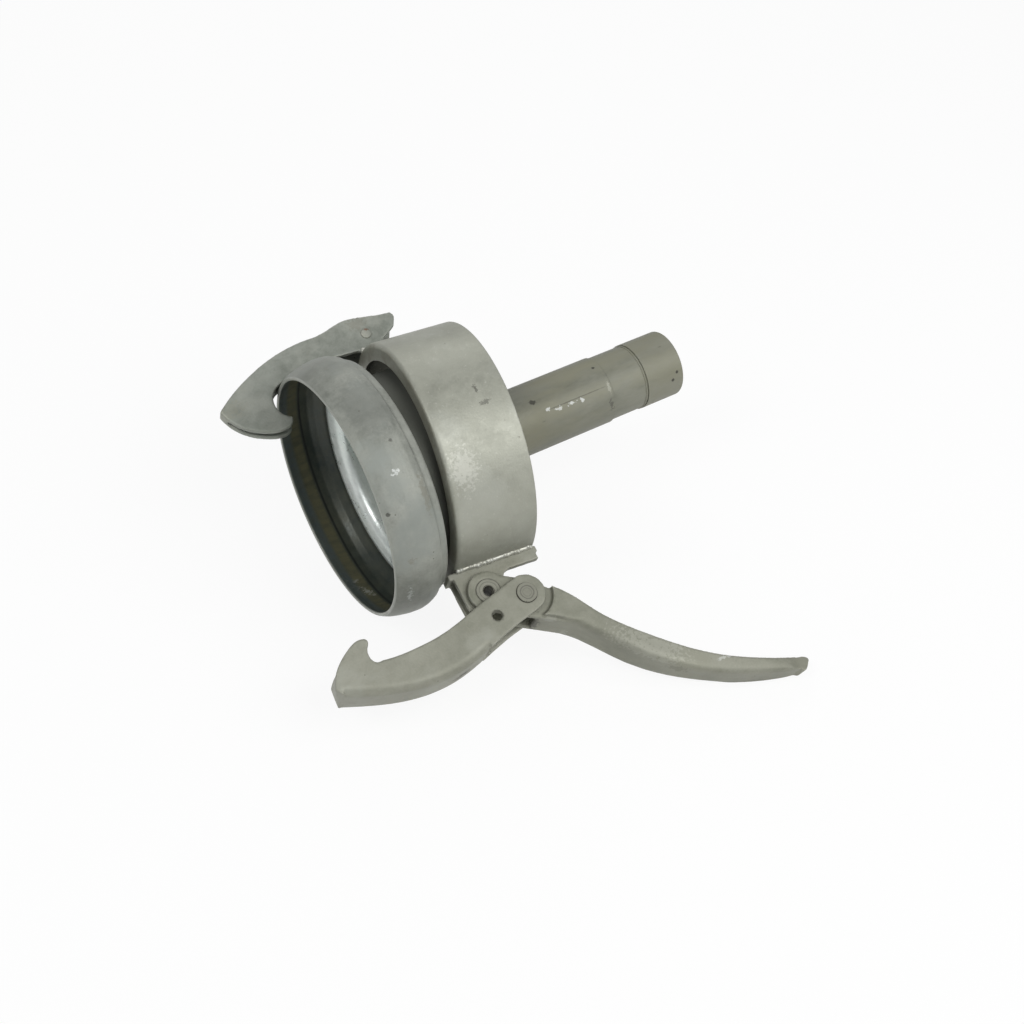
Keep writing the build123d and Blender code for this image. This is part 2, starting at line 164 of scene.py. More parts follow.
def noise(tree, vector, scale, detail=4.0, roughness=0.55, stretch=None):
    if stretch:
        vector = addNode(tree, "ShaderNodeMapping", {"Vector": vector, "Scale": stretch}).outputs[0]
    return addNode(tree, "ShaderNodeTexNoise", {
        "Vector": vector, "Scale": scale, "Detail": detail, "Roughness": roughness}).outputs["Fac"]


def newGroup(name, inputs, outputs):
    tree = bpy.data.node_groups.new(name, "ShaderNodeTree")
    for label, kind, default in inputs:
        socket = tree.interface.new_socket(label, in_out="INPUT", socket_type=kind)
        if default is not None:
            socket.default_value = default
    for label, kind in outputs:
        tree.interface.new_socket(label, in_out="OUTPUT", socket_type=kind)
    return tree, tree.nodes.new("NodeGroupInput"), tree.nodes.new("NodeGroupOutput")


# Shared effects: the dipped zinc skin, and a single ragged mark

zincSkinSizes = {
    "cloud": 14.0,  # patches of the dip, per metre
    "mottle": 110.0,
    "grain": 620.0,
    "pit": 130.0,
    "pitPatch": 60.0,
    "bloom": 26.0,
    "shares": (0.55, 0.3, 0.15),  # of clouds, mottle and grain in the tone
    "toneRange": (0.38, 0.62),
    "bloomRange": (0.5, 0.68),
    "pitRange": (0.1, 0.03),
    "pitPatchRange": (0.55, 0.62),
    "pitColour": (0.07, 0.065, 0.045),
    "noiseRange": (0.3, 0.7),
    "mottleRough": 0.1,
    "grainRough": 0.05,
    "heights": (0.75, 0.3, 0.7),  # of mottle, grain and pits in the bump
}


def makeZincSkin():
    tree, inputs, outputs = newGroup("zincSkin", [
        ("Vector", "NodeSocketVector", None),
        ("Light", "NodeSocketColor", (0.5, 0.5, 0.45, 1)),
        ("Dark", "NodeSocketColor", (0.3, 0.3, 0.27, 1)),
        ("Bloom", "NodeSocketColor", (0.45, 0.5, 0.52, 1)),
        ("Bloom Amount", "NodeSocketFloat", 0.5),
        ("Pits", "NodeSocketFloat", 0.5),
        ("Roughness", "NodeSocketFloat", 0.5),
    ], [("Colour", "NodeSocketColor"), ("Roughness", "NodeSocketFloat"), ("Height", "NodeSocketFloat")])
    sizes = zincSkinSizes
    vector = inputs.outputs["Vector"]
    clouds = noise(tree, vector, sizes["cloud"], 6, 0.62)
    mottle = noise(tree, vector, sizes["mottle"], 5, 0.65)
    grain = noise(tree, vector, sizes["grain"], 2, 0.5)
    cloudShare, mottleShare, grainShare = sizes["shares"]
    blend = mathNode(tree, "ADD", times(tree, clouds, cloudShare), times(tree, mottle, mottleShare))
    blend = mathNode(tree, "ADD", blend, times(tree, grain, grainShare))
    tone = between(tree, blend, *sizes["toneRange"])
    colour = mixColour(tree, tone, inputs.outputs["Dark"], inputs.outputs["Light"])
    bloom = between(tree, noise(tree, vector, sizes["bloom"], 4, 0.6, (1, 1.3, 0.8)), *sizes["bloomRange"])
    bloom = times(tree, bloom, inputs.outputs["Bloom Amount"])
    colour = mixColour(tree, bloom, colour, inputs.outputs["Bloom"])
    cells = addNode(tree, "ShaderNodeTexVoronoi", {"Vector": vector, "Scale": sizes["pit"]})
    patches = between(tree, noise(tree, vector, sizes["pitPatch"], 2), *sizes["pitPatchRange"])
    pits = times(tree, between(tree, cells.outputs["Distance"], *sizes["pitRange"]), patches)
    pits = times(tree, pits, inputs.outputs["Pits"])
    colour = mixColour(tree, pits, colour, sizes["pitColour"])
    tree.links.new(colour, outputs.inputs["Colour"])
    mottleRough = between(tree, mottle, *sizes["noiseRange"], -sizes["mottleRough"], sizes["mottleRough"])
    grainRough = between(tree, grain, *sizes["noiseRange"], -sizes["grainRough"], sizes["grainRough"])
    rough = mathNode(tree, "ADD", inputs.outputs["Roughness"], mottleRough)
    rough = mathNode(tree, "ADD", rough, grainRough, clamp=True)
    tree.links.new(rough, outputs.inputs["Roughness"])
    mottleHeight, grainHeight, pitDepth = sizes["heights"]
    height = mathNode(tree, "ADD", times(tree, mottle, mottleHeight), times(tree, grain, grainHeight))
    height = mathNode(tree, "SUBTRACT", height, times(tree, pits, pitDepth))
    tree.links.new(height, outputs.inputs["Height"])
    return tree


markEdge = {"scale": 420, "reach": 5.0}


def makeMark():
    tree, inputs, outputs = newGroup("raggedMark", [
        ("Vector", "NodeSocketVector", None),
        ("Centre", "NodeSocketVector", None),
        ("Size", "NodeSocketVector", None),
        ("Ragged", "NodeSocketFloat", 0.5),
        ("Soft", "NodeSocketFloat", 0.35),
    ], [("Mask", "NodeSocketFloat")])
    vector = inputs.outputs["Vector"]
    offset = addNode(tree, "ShaderNodeVectorMath", {0: vector, 1: inputs.outputs["Centre"]}, operation="SUBTRACT")
    scaled = addNode(tree, "ShaderNodeVectorMath", {
        0: offset.outputs[0], 1: inputs.outputs["Size"]}, operation="DIVIDE")
    wobble = mathNode(tree, "SUBTRACT", noise(tree, vector, markEdge["scale"], 4, 0.65), 0.5)
    wobble = times(tree, wobble, times(tree, inputs.outputs["Ragged"], markEdge["reach"]))
    away = mathNode(tree, "ADD", lengthOf(tree, scaled.outputs[0]), wobble)
    inner = mathNode(tree, "SUBTRACT", 1.0, inputs.outputs["Soft"])
    tree.links.new(between(tree, away, 1.0, inner), outputs.inputs["Mask"])
    return tree


zincSkin = makeZincSkin()
raggedMark = makeMark()


# Edge wear for the zinc finishes, and painted shade that darkens concave creases
wearAndCreaseShade = {
    "edgeRange": (0.515, 0.56),
    "creaseShadeRange": (0.49, 0.44),
    "creaseShadeColour": (0.07, 0.065, 0.05),
    "markDepth": 0.25,
    "bumpHeight": 0.0007,
    "edgeRound": 0.0006,
}


def localPlace(tree, foot, turn):
    # A piece's own axes where it has a foot, and the frame's axes otherwise
    place = addNode(tree, "ShaderNodeTexCoord").outputs["Object"]
    if foot is None:
        return place
    mapping = addNode(tree, "ShaderNodeMapping", {
        "Vector": place, "Location": tuple(foot), "Rotation": tuple(turn.to_euler())}, vector_type="TEXTURE")
    return mapping.outputs[0]


def zincMaterial(name, look, marks=(), foot=None, turn=None, extra=None):
    # A mark is (centre, size, colour, strength, ragged), in the piece's own axes
    material, tree, shader = newMaterial(name)
    own = localPlace(tree, foot, turn)
    grainPlace = own
    if look.get("stretch"):
        grainPlace = addNode(tree, "ShaderNodeMapping", {"Vector": own, "Scale": look["stretch"]}).outputs[0]
    skin = addNode(tree, "ShaderNodeGroup", node_tree=zincSkin)
    for label, value in (
        ("Vector", grainPlace), ("Light", look["light"]), ("Dark", look["dark"]), ("Bloom", look["bloom"]),
        ("Bloom Amount", look["bloomAmount"]), ("Pits", look["pits"]), ("Roughness", look["roughness"]),
    ):
        setInput(tree, skin.inputs[label], value)
    colour = skin.outputs["Colour"]
    height = skin.outputs["Height"]
    rough = skin.outputs["Roughness"]
    if look.get("edge"):
        edge = between(tree, addNode(tree, "ShaderNodeNewGeometry").outputs["Pointiness"], *wearAndCreaseShade["edgeRange"])
        colour = mixColour(tree, times(tree, edge, look["edge"]), colour, look["edgeColour"])
    # Concave creases are painted near-black: painted shade
    if look.get("creaseShade"):
        creaseShade = between(tree, addNode(tree, "ShaderNodeNewGeometry").outputs["Pointiness"], *wearAndCreaseShade["creaseShadeRange"])
        colour = mixColour(tree, times(tree, creaseShade, look["creaseShade"]), colour, wearAndCreaseShade["creaseShadeColour"])
    for centre, size, tint, strength, ragged in marks:
        mark = addNode(tree, "ShaderNodeGroup", {
            "Vector": own, "Centre": centre, "Size": size, "Ragged": ragged}, node_tree=raggedMark)
        mask = times(tree, mark.outputs["Mask"], strength)
        colour = mixColour(tree, mask, colour, tint)
        height = mathNode(tree, "SUBTRACT", height, times(tree, mask, wearAndCreaseShade["markDepth"]))
    if extra:
        colour, rough = extra(tree, own, colour, rough)
    tree.links.new(colour, shader.inputs["Base Color"])
    tree.links.new(rough, shader.inputs["Roughness"])
    soft = addNode(tree, "ShaderNodeBevel", {"Radius": look.get("edgeRound", wearAndCreaseShade["edgeRound"])}, samples=4)
    bump = addNode(tree, "ShaderNodeBump", {
        "Height": height, "Strength": look["bump"], "Distance": wearAndCreaseShade["bumpHeight"],
        "Normal": soft.outputs["Normal"]})
    tree.links.new(bump.outputs["Normal"], shader.inputs["Normal"])
    shader.inputs["Metallic"].default_value = look["metallic"]
    return material


def dress(name, material):
    piece = nodes[name]
    if not piece.material_slots:
        piece.data.materials.append(material)
    for materialSlot in piece.material_slots:
        materialSlot.material = material


# Finishes

ballLook = {
    "light": (0.35, 0.36, 0.32), "dark": (0.205, 0.215, 0.186), "bloom": (0.255, 0.275, 0.25),
    "bloomAmount": 0.8, "pits": 0.9, "roughness": 0.54, "metallic": 0.3, "bump": 0.35,
    "edge": 0.7, "edgeColour": (0.52, 0.53, 0.49),
}
# Inside the cup the zinc is painted nearly black: painted shade deep in the hollow
cupInsideShadedLook = {
    "light": (0.075, 0.08, 0.058), "dark": (0.03, 0.04, 0.034), "bloom": (0.045, 0.062, 0.058),
    "bloomAmount": 0.5, "pits": 0.2, "roughness": 0.42, "metallic": 0.3, "bump": 0.25,
}
# The neck is painted near-white: a painted highlight for its shine inside the mouth; the cone reuses this look with
# darker tones but keeps the same bright bloom
neckHighlightLook = {
    "light": (0.90, 0.94, 0.90), "dark": (0.66, 0.72, 0.68), "bloom": (0.93, 0.96, 0.94),
    "bloomAmount": 0.6, "pits": 0.12, "roughness": 0.36, "metallic": 0.55, "bump": 0.2, "stretch": (1, 0.5, 1),
}
ringLook = {
    "light": (0.38, 0.385, 0.325), "dark": (0.30, 0.305, 0.255), "bloom": (0.42, 0.43, 0.38),
    "bloomAmount": 0.4, "pits": 0.8, "roughness": 0.5, "metallic": 0.4, "bump": 0.55, "edgeRound": 0.0012,
}
pipeLook = {
    "light": (0.245, 0.247, 0.20), "dark": (0.145, 0.148, 0.112), "bloom": (0.225, 0.22, 0.152),
    "bloomAmount": 0.75, "pits": 0.9, "roughness": 0.56, "metallic": 0.22, "bump": 0.4, "stretch": (0.35, 1, 1),
}
sleeveLook = dict(pipeLook, light=(0.245, 0.245, 0.195), dark=(0.185, 0.185, 0.14), roughness=0.58)
pressingLook = {
    "light": (0.318, 0.318, 0.262), "dark": (0.212, 0.214, 0.168), "bloom": (0.36, 0.365, 0.315),
    "bloomAmount": 0.5, "pits": 0.7, "roughness": 0.56, "metallic": 0.3, "bump": 0.45,
    "edge": 0.3, "edgeColour": (0.46, 0.46, 0.395), "creaseShade": 0.7,
}
clawLook = dict(pressingLook, light=(0.335, 0.35, 0.31), dark=(0.225, 0.24, 0.205), roughness=0.48, metallic=0.4)
weldLook = {
    "light": (0.62, 0.62, 0.56), "dark": (0.36, 0.36, 0.30), "bloom": (0.7, 0.72, 0.68),
    "bloomAmount": 0.5, "pits": 0.8, "roughness": 0.38, "metallic": 0.5, "bump": 0.6,
}
innerWeldLook = dict(weldLook, light=(0.22, 0.22, 0.18), dark=(0.12, 0.12, 0.095))
rust = (0.16, 0.06, 0.02)
soot = (0.035, 0.033, 0.026)
chalk = (0.78, 0.8, 0.78)
brown = (0.13, 0.1, 0.055)


cupZones = {
    "streaks": 240,
    "line": 0.0195,
    "lineWidth": (0.0012, 0.0004),
    "lineColour": (0.012, 0.014, 0.012),
    "olive": (0.0185, 0.0165),
    "oliveStreaks": (0.35, 0.6, 0.55, 1.0),
    "oliveColour": (0.135, 0.128, 0.072),
    "front": (0.0105, 0.0075),
    "frontStreaks": (0.3, 0.6, 0.6, 1.0),
    "frontColour": (0.085, 0.105, 0.105),
    "rim": (0.0022, 0.0006),
    "rimColour": (0.33, 0.34, 0.30),
}


def cupInsideZones(tree, own, colour, rough):
    # Behind the bare rim come a grey zone, an olive band and a dark line, streaked from front to back
    x = addNode(tree, "ShaderNodeSeparateXYZ", {"Vector": own}).outputs["X"]
    streaks = noise(tree, own, cupZones["streaks"], 3, 0.6, (0.12, 1, 1))
    away = mathNode(tree, "ABSOLUTE", mathNode(tree, "SUBTRACT", x, cupZones["line"]))
    colour = mixColour(tree, between(tree, away, *cupZones["lineWidth"]), colour, cupZones["lineColour"])
    for zone in ("olive", "front"):
        streaked = between(tree, streaks, *cupZones[zone + "Streaks"])
        band = times(tree, between(tree, x, *cupZones[zone]), streaked)
        colour = mixColour(tree, band, colour, cupZones[zone + "Colour"])
    colour = mixColour(tree, between(tree, x, *cupZones["rim"]), colour, cupZones["rimColour"])
    return colour, rough


neckOutsideDullAndShade = {
    "radial": (0.0700, 0.0712),
    "along": (0.0440, 0.0470),
    "colour": (0.13, 0.135, 0.115),
    "roughness": 0.6,
}


def neckZones(tree, own, colour, rough):
    # Outside, behind the ball, the neck is made rough and its colour painted dark as shade; inside it keeps the bright
    # colour of its painted highlight
    x, radial = alongAndRadial(tree, own)
    outside = times(tree, between(tree, radial, *neckOutsideDullAndShade["radial"]), between(tree, x, *neckOutsideDullAndShade["along"]))
    colour = mixColour(tree, outside, colour, neckOutsideDullAndShade["colour"])
    rough = mathNode(tree, "MAXIMUM", rough, times(tree, outside, neckOutsideDullAndShade["roughness"]))
    return colour, rough


ringShadeAndMarks = {
    "depth": (0.0030, 0.0042),  # below the ring's outside
    "lip": (0.0012, 0.0004),
    "colour": (0.05, 0.05, 0.038),
    "strength": 0.85,
    "smears": 55,
    "smearRange": (0.42, 0.6),
    "smearColour": (0.17, 0.155, 0.11),
    "smearStrength": 0.45,
    "flecks": 380,
    "fleckRange": (0.60, 0.72),
    "fleckColour": (0.6, 0.6, 0.54),
    "fleckStrength": 0.35,
}


def ringInside(tree, own, colour, rough):
    # Inside the ring, behind the front face of its lip, the colour is painted dark: painted shade. The lip's front face
    # gets grey-brown smears
    x, radial = alongAndRadial(tree, own)
    inside = between(tree, radial, *(ringPlace["radius"] - depth for depth in ringShadeAndMarks["depth"]))
    lip = between(tree, x, *ringShadeAndMarks["lip"])
    inside = times(tree, inside, mathNode(tree, "SUBTRACT", 1.0, lip))
    colour = mixColour(tree, times(tree, inside, ringShadeAndMarks["strength"]), colour, ringShadeAndMarks["colour"])
    smear = times(tree, lip, between(tree, noise(tree, own, ringShadeAndMarks["smears"], 5, 0.6), *ringShadeAndMarks["smearRange"]))
    colour = mixColour(tree, times(tree, smear, ringShadeAndMarks["smearStrength"]), colour, ringShadeAndMarks["smearColour"])
    # Fine bright flecks stand all over the dip
    fleck = between(tree, noise(tree, own, ringShadeAndMarks["flecks"], 4, 0.7), *ringShadeAndMarks["fleckRange"])
    colour = mixColour(tree, times(tree, fleck, ringShadeAndMarks["fleckStrength"]), colour, ringShadeAndMarks["fleckColour"])
    return colour, rough


# Each groove is (radius, width, strength)
headGrooves = {"wobbleScale": 300, "wobble": 0.0012, "sharp": 0.3}
pivotRings = {
    "place": (0.0161, 0.0215),
    "rings": [(0.0040, 0.0005, 0.8), (0.0066, 0.0004, 0.45), (0.0088, 0.0004, 0.7)],
}
rivetRings = {
    "place": (0.0398, 0.0331),
    "rings": [(0.0048, 0.0006, 0.5), (0.0030, 0.0004, 0.25), (0.0076, 0.0005, 0.75)],
}


def headRings(sizes):
    # Fine dark grooves run round the middle of a rolled or hammered head
    def shade(tree, own, colour, rough):
        split = addNode(tree, "ShaderNodeSeparateXYZ", {"Vector": own})
        flat = addNode(tree, "ShaderNodeCombineXYZ", {
            "X": mathNode(tree, "SUBTRACT", split.outputs["X"], sizes["place"][0]),
            "Y": mathNode(tree, "SUBTRACT", split.outputs["Y"], sizes["place"][1])})
        wobble = mathNode(tree, "SUBTRACT", noise(tree, own, headGrooves["wobbleScale"], 3), 0.5)
        wobble = times(tree, wobble, headGrooves["wobble"])
        radial = mathNode(tree, "ADD", lengthOf(tree, flat.outputs[0]), wobble)
        for radius, width, strength in sizes["rings"]:
            away = mathNode(tree, "ABSOLUTE", mathNode(tree, "SUBTRACT", radial, radius))
            groove = between(tree, away, width, width * headGrooves["sharp"])
            colour = mixColour(tree, times(tree, groove, strength), colour, soot)
        return colour, rough
    return shade


finishes = {}
finishes["ballOutside"] = zincMaterial("ballOutside", ballLook, [
    ((0.0039, -0.0765, 0.0522), (0.002, 0.0016, 0.0016), soot, 0.7, 0.3),
    ((0.0235, -0.0455, 0.0855), (0.0015, 0.0015, 0.0015), soot, 0.6, 0.3),
    ((0.012, -0.088, 0.018), (0.004, 0.01, 0.003), brown, 0.25, 0.8),
    # A broad darker patch over the top of the ball is painted shade
    ((0.022, -0.018, 0.096), (0.020, 0.030, 0.020), (0.17, 0.18, 0.16), 0.45, 0.25),
    ((0.018, -0.062, 0.072), (0.003, 0.002, 0.003), chalk, 0.5, 0.9),
    ((0.010, -0.092, -0.015), (0.0016, 0.005, 0.008), chalk, 0.35, 0.9),
    ((0.032, -0.074, 0.055), (0.003, 0.014, 0.016), (0.2, 0.185, 0.14), 0.4, 0.6),
])
finishes["cupInside"] = zincMaterial("cupInside", cupInsideShadedLook, [
    ((0.0084, -0.0035, -0.0911), (0.005, 0.0045, 0.004), chalk, 0.9, 0.8),
    ((0.0128, -0.0209, -0.0899), (0.0035, 0.006, 0.004), chalk, 0.8, 0.9),
    ((0.0075, -0.012, -0.0908), (0.004, 0.003, 0.003), chalk, 0.5, 0.9),
], extra=cupInsideZones)
finishes["neckZinc"] = zincMaterial("neckZinc", neckHighlightLook, [
    ((0.0377, 0.0534, -0.0552), (0.003, 0.004, 0.003), chalk, 0.8, 0.7),
    # A pale streak inside the neck is a painted highlight
    ((0.050, 0.015, -0.067), (0.009, 0.016, 0.006), (0.9, 0.93, 0.9), 0.6, 0.7),
], extra=neckZones)
finishes["coneZinc"] = zincMaterial("coneZinc", dict(neckHighlightLook, light=(0.25, 0.26, 0.22), dark=(0.14, 0.15, 0.12)))
finishes["ringZinc"] = zincMaterial("ringZinc", ringLook, [
    ((0.0400, -0.0300, 0.0864), (0.0016, 0.0040, 0.002), soot, 0.55, 0.7),
    ((0.0435, -0.0405, 0.0820), (0.0050, 0.0020, 0.002), soot, 0.5, 0.8),
    # A pale mottled patch on the ring's upper front is a painted highlight
    ((0.0130, -0.0700, 0.0580), (0.010, 0.016, 0.014), (0.62, 0.62, 0.56), 0.35, 0.9),
], foot=ringCentre, turn=ringTilt, extra=ringInside)
finishes["bracketZinc"] = zincMaterial(
    "bracketZinc", dict(pressingLook, dark=(0.2, 0.2, 0.155)), foot=leverFoot, turn=leverTurn)
finishes["tailZinc"] = zincMaterial("tailZinc", pipeLook, [
    ((0.195, -0.0170, 0.0201), (0.032, 0.0005, 0.0008), soot, 0.45, 0.2),
    ((0.1700, -0.0165, 0.0204), (0.0016, 0.0016, 0.0016), chalk, 0.6, 0.8),
    ((0.1790, -0.0185, 0.0186), (0.0030, 0.0014, 0.0014), chalk, 0.55, 0.9),
    ((0.1900, -0.0185, 0.0186), (0.0040, 0.0012, 0.0012), chalk, 0.6, 0.9),
    ((0.1990, -0.0186, 0.0185), (0.0016, 0.0016, 0.0016), chalk, 0.6, 0.8),
    ((0.2235, -0.0180, 0.0190), (0.0016, 0.0060, 0.0060), (0.36, 0.36, 0.3), 0.7, 0.6),
    ((0.1618, -0.0084, 0.0248), (0.003, 0.002, 0.002), soot, 0.8, 0.5),
    ((0.2202, -0.0007, 0.0262), (0.0016, 0.0012, 0.0012), soot, 0.9, 0.3),
    ((0.2226, -0.0253, 0.0069), (0.0018, 0.006, 0.006), soot, 0.5, 0.9),
])
finishes["sleeveZinc"] = zincMaterial("sleeveZinc", sleeveLook, [
    ((0.2795, -0.0252, 0.0064), (0.0016, 0.0016, 0.0016), soot, 0.9, 0.3),
    ((0.2839, -0.0234, 0.0113), (0.0014, 0.0014, 0.0014), soot, 0.9, 0.3),
])
finishes["hookZinc"] = zincMaterial("hookZinc", pressingLook, [
    ((-0.0185, 0.0685, 0.001), (0.012, 0.0025, 0.004), soot, 0.75, 0.8),
    # A dark patch inside the hook's open channel, between its cheeks, is painted shade
    ((0.004, 0.060, 0.0), (0.005, 0.006, 0.012), soot, 0.8, 0.8),
    ((0.0135, 0.0413, -0.0175), (0.0052, 0.0052, 0.003), soot, 0.6, 0.2),
], foot=leverFoot, turn=leverTurn)
handleLook = dict(
    pressingLook, light=(0.30, 0.30, 0.245), dark=(0.175, 0.178, 0.135), bloom=(0.265, 0.265, 0.205), bloomAmount=0.7
)
finishes["handleZinc"] = zincMaterial("handleZinc", handleLook, [
    ((0.1600, 0.1250, -0.0150), (0.0090, 0.0015, 0.0030), chalk, 0.3, 0.9),
    ((0.1050, 0.1010, -0.0150), (0.0300, 0.0260, 0.0050), (0.44, 0.44, 0.38), 0.3, 0.9),
    ((0.0480, 0.0560, -0.0120), (0.0060, 0.0050, 0.0050), (0.42, 0.42, 0.37), 0.35, 0.5),
    ((0.1250, 0.1190, -0.0060), (0.0260, 0.0050, 0.0050), (0.12, 0.12, 0.085), 0.4, 0.9),
    # A dark patch where the handle comes out from behind the hook's cheek is painted shadow
    ((0.042, 0.050, 0.0), (0.003, 0.006, 0.012), soot, 0.6, 0.6),
    ((0.070, 0.060, 0.008), (0.010, 0.004, 0.005), (0.5, 0.5, 0.44), 0.4, 0.9),
], foot=leverFoot, turn=leverTurn)
finishes["clawZinc"] = zincMaterial("clawZinc", clawLook, [
    ((-0.105, -0.014, 0.0), (0.016, 0.010, 0.010), (0.30, 0.30, 0.24), 0.5, 0.5),
    ((0.006, 0.022, 0.014), (0.008, 0.006, 0.004), brown, 0.18, 0.8),
], foot=clawFoot, turn=clawTurn)
finishes["weldZinc"] = zincMaterial("weldZinc", weldLook)
finishes["plugZinc"] = zincMaterial("plugZinc", dict(clawLook, light=(0.42, 0.42, 0.36), bump=0.8), [
    ((0.0105, 0.0155, 0.0146), (0.0022, 0.002, 0.003), rust, 0.8, 0.8),
    ((0.0105, 0.0155, -0.0146), (0.0022, 0.002, 0.003), rust, 0.8, 0.8),
], foot=clawFoot, turn=clawTurn)
finishes["innerWeldZinc"] = zincMaterial("innerWeldZinc", innerWeldLook)
headLook = dict(pressingLook, light=(0.29, 0.29, 0.238), dark=(0.205, 0.205, 0.163), edge=0, creaseShade=0)
finishes["rivetZinc"] = zincMaterial("rivetZinc", headLook, foot=leverFoot, turn=leverTurn, extra=headRings(rivetRings))
finishes["pivotZinc"] = zincMaterial("pivotZinc", headLook, foot=leverFoot, turn=leverTurn, extra=headRings(pivotRings))
# These CAD pieces keep their own mesh
dressedPieces = {
    "neck_sleeve": "neckZinc", "reducer_cone": "coneZinc", "closure_ring": "ringZinc",
    "tail_pipe": "tailZinc", "stub_pipe": "tailZinc", "end_sleeve": "sleeveZinc",
    "hook_rivet": "rivetZinc", "pivot_bush": "pivotZinc", "claw_plug_weld": "plugZinc",
    "neck_weld": "innerWeldZinc",
}
for name, finish in dressedPieces.items():
    dress(name, finishes[finish])
print("finishes made:", len(finishes))


# Geometry Nodes helpers

def newGeometryTree(name, inputs):
    tree = bpy.data.node_groups.new(name, "GeometryNodeTree")
    tree.interface.new_socket("Geometry", in_out="INPUT", socket_type="NodeSocketGeometry")
    for label, kind in inputs:
        tree.interface.new_socket(label, in_out="INPUT", socket_type=kind)
    tree.interface.new_socket("Geometry", in_out="OUTPUT", socket_type="NodeSocketGeometry")
    return tree, tree.nodes.new("NodeGroupInput"), tree.nodes.new("NodeGroupOutput")


def newPiece(name, mesh=None):
    piece = bpy.data.objects.new(name, mesh or bpy.data.meshes.new(name))
    bpy.context.scene.collection.objects.link(piece)
    return piece


def pathCurve(name, points, cyclic):
    data = bpy.data.curves.new(name, "CURVE")
    data.dimensions = "3D"
    spline = data.splines.new("POLY")
    spline.points.add(len(points) - 1)
    for point, place in zip(spline.points, points):
        point.co = (*place, 1)
    spline.use_cyclic_u = cyclic
    curve = bpy.data.objects.new(name, data)
    bpy.context.scene.collection.objects.link(curve)
    return curve


def applied(piece):
    # The evaluated shape becomes a plain mesh and every modifier goes
    bpy.context.view_layer.update()
    graph = bpy.context.evaluated_depsgraph_get()
    mesh = bpy.data.meshes.new_from_object(piece.evaluated_get(graph))
    piece.modifiers.clear()
    piece.data = mesh
    mesh.name = piece.name


def setTreeInputs(modifier, tree, values):
    for item in tree.interface.items_tree:
        if item.item_type == "SOCKET" and item.in_out == "INPUT" and item.name in values:
            modifier[item.identifier] = values[item.name]


def addSkin(piece, voxel):
    remesh = piece.modifiers.new("skin", "REMESH")
    remesh.mode = "VOXEL"
    remesh.voxel_size = voxel


def addSmoothing(piece, label, rounds):
    smooth = piece.modifiers.new(label, "SMOOTH")
    smooth.factor = 0.5
    smooth.iterations = rounds
    return smooth


def smoothShaded(piece):
    for face in piece.data.polygons:
        face.use_smooth = True


def bodyOf(name):
    return body_of(nodes[name])[0]


# Ball cup, turned from its own line

ballCup = {
    "outer": [(0.0009, 0.0913), (0.0056, 0.0936), (0.0110, 0.0951), (0.0180, 0.0965), (0.0256, 0.0970),
              (0.0300, 0.0963), (0.0348, 0.0944), (0.0364, 0.0916), (0.0392, 0.0908), (0.0419, 0.0896),
              (0.0433, 0.0867), (0.0445, 0.0800), (0.0445, 0.0738)],
    "inner": [(0.0415, 0.0760), (0.0400, 0.0800), (0.0362, 0.0872), (0.0310, 0.0918), (0.0256, 0.0940),
              (0.0180, 0.0935), (0.0110, 0.0921), (0.0056, 0.0905), (0.0009, 0.0884)],
    "rim": [(0.0001, 0.0892), (0.0001, 0.0905)],
    "linePoints": 170,
    "turnPoints": 240,
    "innerShare": 0.535,
    "softRounds": 4,
}


